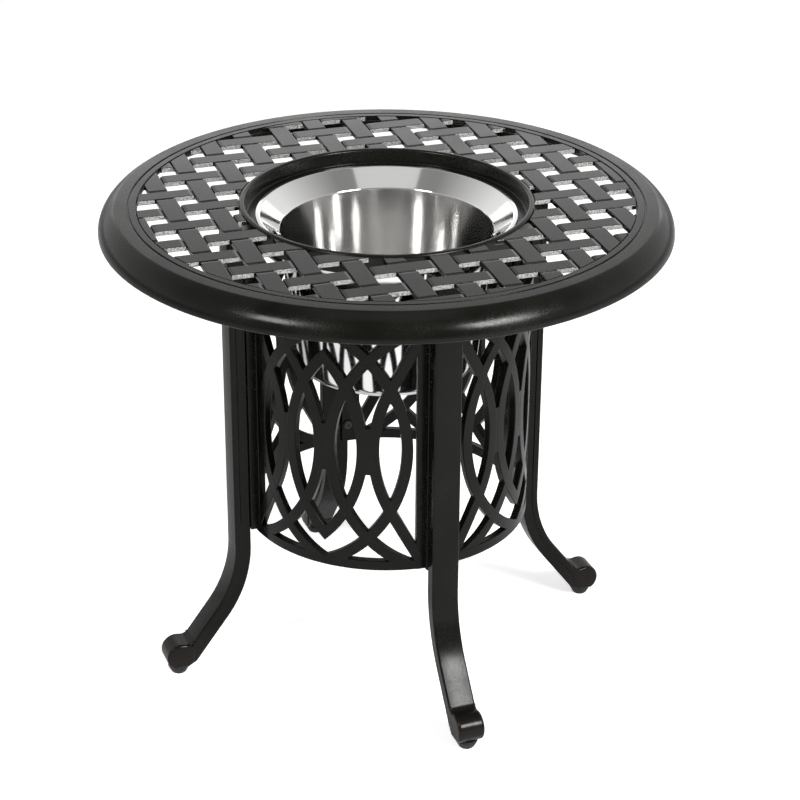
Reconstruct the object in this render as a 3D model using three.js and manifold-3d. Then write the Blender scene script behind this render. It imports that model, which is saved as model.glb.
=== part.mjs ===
// Ice bucket coffee table: a round cast metal table with an open basket-weave top. A polished
// steel bucket drops into the ring in the middle of the top and lifts straight out. Four cast
// legs carry the top. Between them four curved lattice panels close the drum round the bucket,
// and each leg stands on a screw-in glide.
// Millimetres, +Z up. The origin is on the floor under the middle of the top, and the legs
// stand on the X and Y axes.
import * as THREE from "three";
import { mergeVertices } from "three/addons/utils/BufferGeometryUtils.js";
import Module from "manifold-3d";

const wasm = await Module();
wasm.setup();

// Whole table
const TABLE_RADIUS = 305;
const TABLE_HEIGHT = 535.6;
const LEG_COUNT = 4;
const FIT_GAP = 0.3;
const CUT_OVERRUN = 8;
const MERGE_WITHIN = 0.004;

// Facets of the round shapes
const TOP_SIDES = 60;
const BUCKET_SIDES = 40;
const ROUND_SIDES = 8;
const EDGE_STEPS = 4;
const CORNER_STEPS = 3;

// Woven field of the tabletop. The bars cross at a steady pitch; each bar lies over one
// crossing and tucks under the bars at both of its ends.
const WEAVE_BELOW_RING = 1.5;
const WEAVE_PITCH = 44.15;
const WEAVE_THICKNESS = 5.2;
const BAR_WIDTH = 20.5;
const BAR_STEP = 1.6;
const BAR_END_GAP = 1.5;
const BAR_END_SLOPE = 3;
const BAR_TUCK = 6;
const WEAVE_SHIFT_X = -0.9;
const WEAVE_SHIFT_Y = 0.9;
const WEAVE_TURN = THREE.MathUtils.degToRad(-1.25);
const BAR_TURN = THREE.MathUtils.degToRad(-1.8);
const WEAVE_BITE = 2;

// Rim of the tabletop: a flat web that curves over into a thin outer wall, open underneath
const RIM_WIDTH = 42;
const RIM_PROUD = 0.3;
const RIM_CROWN_REACH = 25.5;
const RIM_CROWN_HEIGHT = 25.65;
const RIM_WALL = 4.6;
const RIM_LIP = 2.3;
const GROOVE_INSET = 8.2;
const GROOVE_WIDTH = 1.8;
const GROOVE_DEPTH = 1.1;
const RIM_EDGE_DROP = 1.2;

// Ring round the bucket, with its ledge
const RING_BORE_RADIUS = 150.3;
const RING_LAND = 6.2;
const RING_CHAMFER = 2;
const RING_TAPER = 1.8;
const LEDGE_BELOW_RING = 16.1;
const LEDGE_WIDTH = 12.5;
const LEDGE_THICKNESS = 6;

// Bucket
const FLANGE_CLEARANCE = 9.1;
const FLANGE_WIDTH = 4.6;
const SHEET = 1.5;
const SHOULDER_WIDTH = 20.3;
const SHOULDER_DEPTH = 16.6;
const MOUTH_ROUND = 2.2;
const BUCKET_DEPTH = 174.3;
const WALL_TAPER = 14.5;
const BUCKET_CORNER = 12;

// Legs
const LEG_WIDTH = 30;
const LEG_DEPTH = 18.7;
const LEG_STANDOFF = 5.7;
const LEG_FLANGE_DEPTH = 7.5;
const LEG_SIDE_STEP = 1.4;
const FLARE_BELOW_PANEL = 19.7;
const FLARE_TURN_SHARE = 1.49;
const FLARE_STEPS = 6;
const FOOT_RADIUS = 248;
const TOE_RADIUS = 16;
const TOE_HEIGHT = 24.5;
const TOE_UNDER_REACH = 26;
const TOE_UNDER_RISE = 16.5;
const TOE_STEPS = 12;

// Lattice panels: interlaced circle arcs of one radius, set at a steady pitch
const PANEL_PROUD = 1.5;
const PANEL_THICKNESS = 8;
const PANEL_HEIGHT = 284;
const PANEL_RAIL = 11.5;
const PANEL_SIDES = 10;
const ARC_WIDTH = 12;
const ARC_EDGE_INSET = 4;
const ARC_CROSSING_DROP = 38;
const ARC_LEAN = THREE.MathUtils.degToRad(67);
const ARC_LAP = 0.6;
const ARC_STEPS = 10;
const ARC_WEB_HEIGHT = 54;
const ARC_WEB_WIDTH = 9;
const EDGE_BAR_WIDTH = 23.2;
const PANEL_PART_GAP = 1.6;
const PAD_WIDTH = 14;
const PAD_INSET = 1;

// Screws that hold the panels to the legs
const SCREW_RADIUS = 3;
const SCREW_BITE = 12;
const SCREW_HEAD_RADIUS = 5.5;
const SCREW_HEAD_HEIGHT = 3.3;
const SCREW_FROM_PANEL_END = 22;

// Lugs that hang from the ring, one inside each leg, and the bolts through them
const LUG_BELOW_RING = 78.8;
const LUG_WIDTH = 26;
const LUG_INSIDE_WALL = 9.5;
const BOLT_RADIUS = 4;
const BOLT_BITE = 13;
const BOLT_HEAD_RADIUS = 7.5;
const BOLT_HEAD_HEIGHT = 5.3;
const BOLT_FROM_EDGE = 14;
const HEX_SIDES = 6;

// Glides under the feet
const GLIDE_HEIGHT = 10.5;
const GLIDE_TOP_RADIUS = 12;
const GLIDE_SOLE_RADIUS = 8.5;
const GLIDE_EDGE = 1.5;
const GLIDE_COLLAR = 2.5;
const STUD_RADIUS = 4;
const STUD_IN_GLIDE = 6;
const STUD_IN_FOOT = 16;

// Materials
const CAST_FINISH = { color: 0x3b3c3b, roughness: 0.48, metalness: 0.25 };
const FASTENER_FINISH = { color: 0x2a2a2a, roughness: 0.45, metalness: 0.6 };
const STEEL_FINISH = { color: 0xd4d5d6, roughness: 0.12, metalness: 1 };
const ZINC_FINISH = { color: 0xa9abad, roughness: 0.35, metalness: 0.9 };
const GLIDE_FINISH = { color: 0x161616, roughness: 0.6, metalness: 0 };

// Levels and radii that follow from the sizes above
const weaveTop = TABLE_HEIGHT - WEAVE_BELOW_RING;
const weaveBottom = weaveTop - WEAVE_THICKNESS;
const rimInner = TABLE_RADIUS - RIM_WIDTH;
const rimTop = weaveTop + RIM_PROUD;
const rimWidest = rimTop - RIM_CROWN_HEIGHT;
const ringOuter = RING_BORE_RADIUS + RING_LAND;
const ledgeTop = TABLE_HEIGHT - LEDGE_BELOW_RING;
const ledgeBottom = ledgeTop - LEDGE_THICKNESS;
const ledgeBore = RING_BORE_RADIUS - RING_TAPER;
const lugInner = ringOuter - LUG_INSIDE_WALL;
const lugBottom = TABLE_HEIGHT - LUG_BELOW_RING;
const flangeRadius = ledgeBore - FLANGE_CLEARANCE;
const flangeTop = ledgeTop + FIT_GAP + SHEET;
const mouthRadius = flangeRadius - FLANGE_WIDTH - SHOULDER_WIDTH;
const bucketFloor = flangeTop - BUCKET_DEPTH;
const panelRadius = ringOuter + PANEL_PROUD;
const panelTop = lugBottom - FIT_GAP;
const panelMiddle = panelTop - PANEL_HEIGHT / 2;
const panelBottom = panelTop - PANEL_HEIGHT;
const legTop = weaveBottom - FIT_GAP;
const flareTop = panelBottom - FLARE_BELOW_PANEL;
const legInner = panelRadius + LEG_STANDOFF;
const seatRadius = legInner - FIT_GAP;
const footBottom = GLIDE_HEIGHT + FIT_GAP;
const quarter = Math.PI / 2;
const legAngles = Array.from({ length: LEG_COUNT }, (_, k) => (k * 2 * Math.PI) / LEG_COUNT - quarter);
const sectorHalf = Math.PI / LEG_COUNT;

// A closed geometry as a solid that can be joined and cut
function solidOf(geometry) {
  const bare = geometry.clone();
  bare.deleteAttribute("normal");
  bare.deleteAttribute("uv");
  const merged = mergeVertices(bare);
  return new wasm.Manifold(
    new wasm.Mesh({
      numProp: 3,
      vertProperties: new Float32Array(merged.attributes.position.array),
      triVerts: new Uint32Array(merged.index.array),
    }),
  );
}

// A joined or cut solid back as a geometry, with faces that lie in one plane merged
function geometryOf(solid) {
  const { numProp, vertProperties, triVerts } = solid.asOriginal().simplify(MERGE_WITHIN).getMesh();
  const position = new Float32Array((vertProperties.length / numProp) * 3);
  for (let i = 0; i * numProp < vertProperties.length; i++) {
    position.set(vertProperties.subarray(i * numProp, i * numProp + 3), i * 3);
  }
  const geometry = new THREE.BufferGeometry();
  geometry.setAttribute("position", new THREE.BufferAttribute(position, 3));
  geometry.setIndex(new THREE.BufferAttribute(new Uint32Array(triVerts), 1));
  const flat = geometry.toNonIndexed();
  flat.computeVertexNormals();
  return flat;
}

function join(solids) {
  return solids.reduce((whole, next) => whole.add(next));
}

// Turned shape round Z from a closed outline of [radius, height] pairs, anticlockwise
function turned(outline, sides) {
  const points = outline.map(([radius, height]) => new THREE.Vector2(radius, height));
  return new THREE.LatheGeometry(points, sides).rotateX(quarter);
}

// Block given by its limits on the three axes
function block([x0, x1], [y0, y1], [z0, z1]) {
  const geometry = new THREE.BoxGeometry(x1 - x0, y1 - y0, z1 - z0);
  return geometry.translate((x0 + x1) / 2, (y0 + y1) / 2, (z0 + z1) / 2);
}

// Plate of a given width whose side is an outline of [radius, height] pairs
function plate(outline, width) {
  const shape = new THREE.Shape(outline.map(([radius, height]) => new THREE.Vector2(radius, height)));
  const geometry = new THREE.ExtrudeGeometry(shape, { depth: width, bevelEnabled: false });
  return geometry.rotateX(quarter).translate(0, width / 2, 0);
}

// Round or hexagonal rod that runs outwards along X
function rodAlongX(radius, x0, x1, y, z, sides) {
  const geometry = new THREE.CylinderGeometry(radius, radius, x1 - x0, sides);
  return geometry.rotateZ(quarter).translate((x0 + x1) / 2, y, z);
}

function arcPoints(centre, reach, steps, from, to) {
  return Array.from({ length: steps + 1 }, (_, i) => {
    const angle = from + ((to - from) * i) / steps;
    return [centre[0] + reach[0] * Math.cos(angle), centre[1] + reach[1] * Math.sin(angle)];
  });
}

// Where the bolts and screws of one leg sit: heights of each, in the leg's own frame with +X
// outwards
const boltHeights = [lugBottom + BOLT_FROM_EDGE, ledgeBottom - BOLT_FROM_EDGE];
const screwHeights = [panelBottom + SCREW_FROM_PANEL_END, panelTop - SCREW_FROM_PANEL_END];
const screwOffset = (PANEL_PART_GAP + PAD_WIDTH) / 2;
const padInner = panelRadius - PANEL_THICKNESS - PAD_INSET;

// Tabletop casting: rim
function rimSolid() {
  const crownCentre = [TABLE_RADIUS - RIM_CROWN_REACH, rimWidest];
  const lipCentre = [TABLE_RADIUS - RIM_WALL / 2, rimWidest];
  const grooveStart = rimInner + GROOVE_INSET;
  const grooveEnd = grooveStart + GROOVE_WIDTH;
  const lip = arcPoints(lipCentre, [RIM_WALL / 2, RIM_LIP], EDGE_STEPS, -2 * quarter, 0);
  const crown = arcPoints(crownCentre, [RIM_CROWN_REACH, RIM_CROWN_HEIGHT], EDGE_STEPS, 0, quarter);
  const inside = arcPoints(
    crownCentre,
    [RIM_CROWN_REACH - RIM_WALL, weaveBottom - rimWidest],
    EDGE_STEPS,
    quarter,
    0,
  );
  const outline = [
    ...lip,
    ...crown.slice(1),
    [grooveEnd, rimTop],
    [grooveEnd, rimTop - GROOVE_DEPTH],
    [grooveStart, rimTop - GROOVE_DEPTH],
    [grooveStart, rimTop],
    [rimInner + RIM_EDGE_DROP, rimTop],
    [rimInner, rimTop - RIM_EDGE_DROP],
    [rimInner, weaveBottom],
    ...inside,
  ];
  return solidOf(turned(outline, TOP_SIDES));
}

// Tabletop casting: ring and ledge
function ringSolid() {
  const outline = [
    [ledgeBore - LEDGE_WIDTH, ledgeBottom],
    [ringOuter, ledgeBottom],
    [ringOuter, TABLE_HEIGHT - RING_CHAMFER],
    [ringOuter - RING_CHAMFER, TABLE_HEIGHT],
    [RING_BORE_RADIUS + RING_CHAMFER, TABLE_HEIGHT],
    [RING_BORE_RADIUS, TABLE_HEIGHT - RING_CHAMFER],
    [ledgeBore, ledgeTop],
    [ledgeBore - LEDGE_WIDTH, ledgeTop],
    [ledgeBore - LEDGE_WIDTH, ledgeBottom],
  ];
  return solidOf(turned(outline, TOP_SIDES));
}

// Tabletop casting: woven field between the ring and the rim
function weaveSolid() {
  const crossings = Math.ceil(rimInner / WEAVE_PITCH) + 1;
  const reach = WEAVE_PITCH - BAR_WIDTH / 2;
  const under = reach + BAR_TUCK;
  const stepLevel = weaveTop - BAR_STEP;
  const barSide = [
    [-under, weaveBottom],
    [under, weaveBottom],
    [under, stepLevel],
    [reach - BAR_END_GAP, stepLevel],
    [reach - BAR_END_GAP - BAR_END_SLOPE, weaveTop],
    [BAR_END_GAP + BAR_END_SLOPE - reach, weaveTop],
    [BAR_END_GAP - reach, stepLevel],
    [-under, stepLevel],
  ];
  const bars = [];
  for (let i = -crossings; i <= crossings; i++) {
    for (let j = -crossings; j <= crossings; j++) {
      const x = WEAVE_SHIFT_X + i * WEAVE_PITCH;
      const y = WEAVE_SHIFT_Y + j * WEAVE_PITCH;
      const away = Math.hypot(x, y);
      if (away - under > rimInner || away + under < ringOuter) {
        continue;
      }
      const turn = BAR_TURN + ((i + j) % 2 === 0 ? quarter : 0);
      const bar = plate(barSide, BAR_WIDTH);
      bars.push(solidOf(bar.rotateZ(turn).translate(x, y, 0).rotateZ(WEAVE_TURN)));
    }
  }
  const field = turned(
    [
      [ringOuter - WEAVE_BITE, weaveBottom - CUT_OVERRUN],
      [rimInner + WEAVE_BITE, weaveBottom - CUT_OVERRUN],
      [rimInner + WEAVE_BITE, weaveTop + CUT_OVERRUN],
      [ringOuter - WEAVE_BITE, weaveTop + CUT_OVERRUN],
      [ringOuter - WEAVE_BITE, weaveBottom - CUT_OVERRUN],
    ],
    TOP_SIDES,
  );
  return join(bars).intersect(solidOf(field));
}

// Tabletop casting with the four lugs that the legs bolt to
function tabletopGeometry() {
  const lugTop = (ledgeTop + ledgeBottom) / 2;
  const lugs = legAngles.map((angle) => {
    const lug = block([lugInner, seatRadius], [-LUG_WIDTH / 2, LUG_WIDTH / 2], [lugBottom, lugTop]);
    return solidOf(lug.rotateZ(angle));
  });
  const holes = legAngles.flatMap((angle) =>
    boltHeights.map((height) => {
      const radius = BOLT_RADIUS + FIT_GAP;
      const hole = rodAlongX(
        radius, lugInner - CUT_OVERRUN, seatRadius + CUT_OVERRUN, 0, height, ROUND_SIDES);
      return solidOf(hole.rotateZ(angle));
    }),
  );
  const casting = join([ringSolid(), rimSolid(), weaveSolid(), ...lugs]);
  return geometryOf(casting.subtract(join(holes)));
}

// Bucket: flange, sloping shoulder, mouth and tapering wall in one sheet
function bucketGeometry() {
  const mouthLevel = flangeTop - SHOULDER_DEPTH;
  const cornerCentre = [mouthRadius - WALL_TAPER - BUCKET_CORNER, bucketFloor + BUCKET_CORNER];
  const corner = arcPoints(cornerCentre, [BUCKET_CORNER, BUCKET_CORNER], CORNER_STEPS, -quarter, 0);
  const inner = BUCKET_CORNER - SHEET;
  const innerCorner = arcPoints(cornerCentre, [inner, inner], CORNER_STEPS, 0, -quarter);
  const shoulder = [
    [flangeRadius - FLANGE_WIDTH, flangeTop],
    [mouthRadius + MOUTH_ROUND, mouthLevel + MOUTH_ROUND / 2],
  ];
  const mouth = [mouthRadius - MOUTH_ROUND / 2, mouthLevel - MOUTH_ROUND];
  const shoulderUnder = shoulder.map(([radius, height]) => [radius + SHEET / 2, height - SHEET]);
  const outline = [
    [0, bucketFloor],
    ...corner,
    [mouth[0] + SHEET, mouth[1] - SHEET / 2],
    ...shoulderUnder.reverse(),
    [flangeRadius, flangeTop - SHEET],
    [flangeRadius, flangeTop],
    ...shoulder,
    mouth,
    ...innerCorner,
    [0, bucketFloor + SHEET],
  ];
  return turned(outline, BUCKET_SIDES);
}

// Leg outline in its own upright plane, [radius, height]. The straight shank turns outwards
// on an arc and runs on, touching the arc, to a point under the toe.
const toeCentre = [FOOT_RADIUS, TOE_HEIGHT];
const toeReach = FOOT_RADIUS - TOE_UNDER_REACH - legInner;
const toeDrop = flareTop - footBottom - TOE_UNDER_RISE;
const flareTurn = FLARE_TURN_SHARE * Math.atan2(toeReach, toeDrop);
const flareRadius =
  (toeDrop * Math.sin(flareTurn) - toeReach * Math.cos(flareTurn)) / (1 - Math.cos(flareTurn));
const straightRun = (toeDrop - flareRadius * Math.sin(flareTurn)) / Math.cos(flareTurn);
const flareCentre = [legInner + flareRadius, flareTop];

// Toe: a knuckle rolled over the end of the leg and cut flat for the glide
const flatHalf = Math.acos((TOE_HEIGHT - footBottom) / TOE_RADIUS);
const toeKnuckle = arcPoints(
  toeCentre,
  [TOE_RADIUS, TOE_RADIUS],
  TOE_STEPS,
  flatHalf - quarter,
  3 * quarter - flatHalf,
);

// Outline of the leg from its outer face inwards to the given depth, closed by way of the
// points of the toe
function legOutline(depth, toePoints) {
  const edge = (radius) => {
    const arc = arcPoints(
      flareCentre, [radius, radius], FLARE_STEPS, Math.PI, Math.PI + flareTurn);
    const [x, z] = arc[FLARE_STEPS];
    const end = [x + Math.sin(flareTurn) * straightRun, z - Math.cos(flareTurn) * straightRun];
    return [[flareCentre[0] - radius, legTop], ...arc, end];
  };
  const outer = flareRadius - LEG_DEPTH;
  return [...edge(outer + depth), ...toePoints, ...edge(outer).reverse()];
}

function legGeometry() {
  const web = legOutline(LEG_DEPTH, [toeKnuckle[TOE_STEPS], toeCentre]);
  const flange = legOutline(LEG_FLANGE_DEPTH, [toeCentre]);
  const body = join([
    solidOf(plate(web, LEG_WIDTH - 2 * LEG_SIDE_STEP)),
    solidOf(plate(flange, LEG_WIDTH)),
    solidOf(plate(toeKnuckle, LEG_WIDTH)),
  ]);
  const holes = [
    ...boltHeights.map((height) =>
      rodAlongX(
        BOLT_RADIUS + FIT_GAP,
        legInner - CUT_OVERRUN,
        legInner + BOLT_BITE + FIT_GAP,
        0,
        height,
        ROUND_SIDES,
      ),
    ),
    ...screwHeights.flatMap((height) =>
      [-screwOffset, screwOffset].map((y) =>
        rodAlongX(
          SCREW_RADIUS + FIT_GAP,
          legInner - CUT_OVERRUN,
          legInner + SCREW_BITE + FIT_GAP,
          y,
          height,
          ROUND_SIDES,
        ),
      ),
    ),
    new THREE.CylinderGeometry(
      STUD_RADIUS + FIT_GAP,
      STUD_RADIUS + FIT_GAP,
      STUD_IN_FOOT + FIT_GAP + CUT_OVERRUN,
      ROUND_SIDES,
    )
      .rotateX(quarter)
      .translate(FOOT_RADIUS, 0, footBottom + (STUD_IN_FOOT + FIT_GAP - CUT_OVERRUN) / 2),
  ];
  return geometryOf(body.subtract(join(holes.map(solidOf))));
}

// Bends a flat piece round the drum: X runs along the drum's face, Y is height, and Z is the
// distance out from the panel's inner face
function bent(geometry) {
  const p = geometry.getAttribute("position");
  for (let i = 0; i < p.count; i++) {
    const radius = panelInner + p.getZ(i);
    const angle = p.getX(i) / panelRadius;
    p.setXYZ(i, radius * Math.cos(angle), radius * Math.sin(angle), panelMiddle + p.getY(i));
  }
  return geometry;
}

// Flat strip whose middle line runs along the given points, as a solid slab through the panel
function flatStrip(points, width) {
  const low = -CUT_OVERRUN;
  const high = PANEL_THICKNESS + CUT_OVERRUN;
  const geometry = new THREE.BoxGeometry(width, 1, high - low, 1, points.length - 1, 1);
  const p = geometry.getAttribute("position");
  for (let i = 0; i < p.count; i++) {
    const k = Math.round((p.getY(i) + 1 / 2) * (points.length - 1));
    const before = points[Math.max(k - 1, 0)];
    const after = points[Math.min(k + 1, points.length - 1)];
    const size = Math.hypot(after[0] - before[0], after[1] - before[1]);
    const across = [(after[1] - before[1]) / size, (before[0] - after[0]) / size];
    p.setXYZ(
      i,
      points[k][0] + across[0] * p.getX(i),
      points[k][1] + across[1] * p.getX(i),
      (low + high) / 2 + p.getZ(i),
    );
  }
  return solidOf(geometry);
}

// Run of a panel along the drum's face and of its window, and the arcs that fill the window:
// a middle arc crosses the one from the edge halfway between two tangent places
const partHalf = PANEL_PART_GAP / 2;
const panelInner = panelRadius - PANEL_THICKNESS;
const halfRun = panelRadius * (sectorHalf - Math.asin(partHalf / panelInner));
const windowHalf = halfRun - EDGE_BAR_WIDTH;
const halfHeight = PANEL_HEIGHT / 2;
const windowHeight = halfHeight - PANEL_RAIL;
const arcPitch = (windowHalf - ARC_EDGE_INSET) / 2;
const arcBow = arcPitch - ARC_WIDTH / 2;
const arcRise = halfHeight - ARC_CROSSING_DROP;
const arcRadius = (arcRise * arcRise + arcBow * arcBow) / (2 * arcBow);
const tipCosine = 1 - (arcPitch - ARC_WIDTH) / (2 * arcRadius);
const tipRise = arcRadius * Math.sin(Math.acos(tipCosine));

// Middle line of one arc of the lattice. It touches its twin at the place given by tangent and
// curves away on the given side. It runs on straight once it leans over by its full angle, or
// past its first crossing.
function arcLine(tangent, side, straightOn) {
  const reach = windowHeight + PANEL_RAIL / 2;
  const curvedRise = straightOn ? tipRise : arcRadius * Math.sin(ARC_LEAN);
  const bow = (height) => {
    const rise = Math.min(Math.abs(height), curvedRise);
    const curved = arcRadius - Math.sqrt(arcRadius * arcRadius - rise * rise);
    const slope = rise / (arcRadius - curved);
    return curved + slope * (Math.abs(height) - rise);
  };
  return Array.from({ length: ARC_STEPS + 1 }, (_, i) => {
    const height = -reach + (2 * reach * i) / ARC_STEPS;
    return [tangent + side * (ARC_WIDTH / 2 + bow(height)), height];
  });
}

function panelGeometry() {
  const through = [-CUT_OVERRUN, PANEL_THICKNESS + CUT_OVERRUN];
  const strips = [];
  for (const side of [-1, 1]) {
    for (const place of [-1, 0, 1, 2]) {
      const line = arcLine(-side * place * arcPitch, side, place === -1);
      const strip = flatStrip(line, ARC_WIDTH);
      const half = side > 0 ? [-halfRun, ARC_LAP] : [-ARC_LAP, halfRun];
      const sideHalf = block(half, [-halfHeight, halfHeight], through);
      strips.push(place === 1 ? strip.intersect(solidOf(sideHalf)) : strip);
    }
  }
  for (const place of [-1, 0, 1]) {
    const middle = place * arcPitch;
    const web = block(
      [middle - ARC_WEB_WIDTH / 2, middle + ARC_WEB_WIDTH / 2],
      [-ARC_WEB_HEIGHT / 2, ARC_WEB_HEIGHT / 2],
      through,
    );
    strips.push(solidOf(web));
  }
  const window = solidOf(block([-windowHalf, windowHalf], [-windowHeight, windowHeight], through));
  const openings = geometryOf(window.subtract(join(strips)));
  const sheet = new THREE.BoxGeometry(2 * halfRun, PANEL_HEIGHT, PANEL_THICKNESS, PANEL_SIDES);
  sheet.translate(0, 0, PANEL_THICKNESS / 2);
  let panel = solidOf(bent(sheet)).subtract(solidOf(bent(openings)));
  for (const side of [-1, 1]) {
    const angle = side * sectorHalf;
    const sideways = [partHalf, partHalf + PAD_WIDTH].map((y) => -side * y);
    const pad = block([padInner, seatRadius], sideways.sort((a, b) => a - b), [panelBottom, panelTop]);
    panel = panel.add(solidOf(pad.rotateZ(angle)));
    for (const height of screwHeights) {
      const hole = rodAlongX(
        SCREW_RADIUS + FIT_GAP,
        padInner - CUT_OVERRUN,
        seatRadius + CUT_OVERRUN,
        -side * screwOffset,
        height,
        ROUND_SIDES,
      );
      panel = panel.subtract(solidOf(hole.rotateZ(angle)));
    }
  }
  return geometryOf(panel);
}

// Screw or bolt lying along +X with the underside of its head at x = 0
function fastenerGeometry(radius, length, headRadius, headHeight, headSides) {
  const head = rodAlongX(headRadius, -headHeight, 0, 0, 0, headSides);
  const shank = rodAlongX(radius, -headHeight / 2, length, 0, 0, ROUND_SIDES);
  return geometryOf(solidOf(head).add(solidOf(shank)));
}

function glideGeometry() {
  const socket = STUD_RADIUS + FIT_GAP;
  const socketFloor = GLIDE_HEIGHT - STUD_IN_GLIDE - FIT_GAP;
  const outline = [
    [0, 0],
    [GLIDE_SOLE_RADIUS - GLIDE_EDGE, 0],
    [GLIDE_SOLE_RADIUS, GLIDE_EDGE],
    [GLIDE_TOP_RADIUS, GLIDE_HEIGHT - GLIDE_COLLAR],
    [GLIDE_TOP_RADIUS, GLIDE_HEIGHT],
    [socket, GLIDE_HEIGHT],
    [socket, socketFloor],
    [0, socketFloor],
  ];
  return turned(outline, 2 * ROUND_SIDES);
}

function studGeometry() {
  const length = STUD_IN_GLIDE + FIT_GAP + STUD_IN_FOOT;
  const rod = new THREE.CylinderGeometry(STUD_RADIUS, STUD_RADIUS, length, ROUND_SIDES);
  return rod.rotateX(quarter).translate(0, 0, GLIDE_HEIGHT - STUD_IN_GLIDE + length / 2);
}

// Assembly
const table = new THREE.Group();
table.name = "ice_bucket_coffee_table";
const cast = new THREE.MeshStandardMaterial(CAST_FINISH);
const fastener = new THREE.MeshStandardMaterial(FASTENER_FINISH);
const steel = new THREE.MeshStandardMaterial(STEEL_FINISH);
const zinc = new THREE.MeshStandardMaterial(ZINC_FINISH);
const plastic = new THREE.MeshStandardMaterial(GLIDE_FINISH);

function addPiece(parent, name, geometry, material) {
  const piece = new THREE.Mesh(geometry, material);
  piece.name = name;
  parent.add(piece);
  return piece;
}

addPiece(table, "tabletop", tabletopGeometry(), cast);
addPiece(table, "ice_bucket", bucketGeometry(), steel);

const legShape = legGeometry();
const panelShape = panelGeometry();
const glideShape = glideGeometry();
const studShape = studGeometry();
const boltLength = legInner + BOLT_BITE - lugInner;
const boltShape = fastenerGeometry(
  BOLT_RADIUS, boltLength, BOLT_HEAD_RADIUS, BOLT_HEAD_HEIGHT, HEX_SIDES);
const screwLength = legInner + SCREW_BITE - padInner;
const screwShape = fastenerGeometry(
  SCREW_RADIUS, screwLength, SCREW_HEAD_RADIUS, SCREW_HEAD_HEIGHT, ROUND_SIDES);
const levels = ["low", "high"];
const hands = ["left", "right"];

legAngles.forEach((angle, k) => {
  const station = new THREE.Group();
  station.rotation.z = angle;
  table.add(station);
  const number = k + 1;
  addPiece(station, `leg_${number}`, legShape, cast);
  const glide = addPiece(station, `glide_${number}`, glideShape, plastic);
  const stud = addPiece(station, `glide_stud_${number}`, studShape, zinc);
  glide.position.x = FOOT_RADIUS;
  stud.position.x = FOOT_RADIUS;
  boltHeights.forEach((height, row) => {
    const bolt = addPiece(station, `top_bolt_${number}_${levels[row]}`, boltShape, fastener);
    bolt.position.set(lugInner - FIT_GAP, 0, height);
  });
  screwHeights.forEach((height, row) => {
    [-screwOffset, screwOffset].forEach((y, hand) => {
      const name = `panel_screw_${number}_${levels[row]}_${hands[hand]}`;
      const screw = addPiece(station, name, screwShape, fastener);
      screw.position.set(padInner - FIT_GAP, y, height);
    });
  });
  const bay = new THREE.Group();
  bay.rotation.z = sectorHalf;
  station.add(bay);
  addPiece(bay, `lattice_panel_${number}`, panelShape, cast);
});

export default table;
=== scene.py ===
import bmesh
import bpy
import numpy as np
from mathutils import Matrix


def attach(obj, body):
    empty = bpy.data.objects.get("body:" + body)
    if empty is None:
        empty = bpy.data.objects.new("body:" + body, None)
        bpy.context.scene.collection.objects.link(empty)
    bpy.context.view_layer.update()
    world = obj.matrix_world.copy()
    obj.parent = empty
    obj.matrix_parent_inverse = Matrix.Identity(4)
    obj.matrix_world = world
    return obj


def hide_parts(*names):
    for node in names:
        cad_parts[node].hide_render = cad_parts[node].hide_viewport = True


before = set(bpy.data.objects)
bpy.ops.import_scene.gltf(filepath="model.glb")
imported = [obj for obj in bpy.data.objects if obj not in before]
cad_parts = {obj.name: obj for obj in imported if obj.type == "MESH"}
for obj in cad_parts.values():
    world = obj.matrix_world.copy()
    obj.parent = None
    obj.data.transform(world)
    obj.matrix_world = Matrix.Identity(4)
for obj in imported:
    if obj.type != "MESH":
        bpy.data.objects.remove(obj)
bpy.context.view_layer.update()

# Rim of the top
# A cast aluminium band round the woven field: a flat web that curves over into a thin wall,
# hollow underneath, with one fine groove and a stepped inner edge. It is cast in one with the
# field and the ring, then blasted and powder coated satin black.
RIM_OUTSIDE = 305.0
RIM_INSIDE = 263.0
RIM_TOP = 534.4
RIM_WIDEST = 508.75
WEB_UNDER = RIM_TOP - 5.5
LIP_RADIUS = 2.3
INSIDE_REACH = 20.9
GROOVE = RIM_INSIDE + 9.7
GROOVE_FLOOR = RIM_TOP - 1.3
GROOVE_MOUTH = 1.15
GROOVE_BED = 0.7
STEP_WIDTH = 1.5
STEP_DEPTH = 2.4


def arc(centre, reach, start, end, steps):
    """Arc of an ellipse: centre plus reach times (cos a, sin a), with a in even steps. One
    number for the reach makes it a circle."""
    a = np.radians(np.linspace(start, end, steps + 1))
    return np.asarray(centre) + np.broadcast_to(reach, 2) * np.stack([np.cos(a), np.sin(a)], 1)


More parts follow.
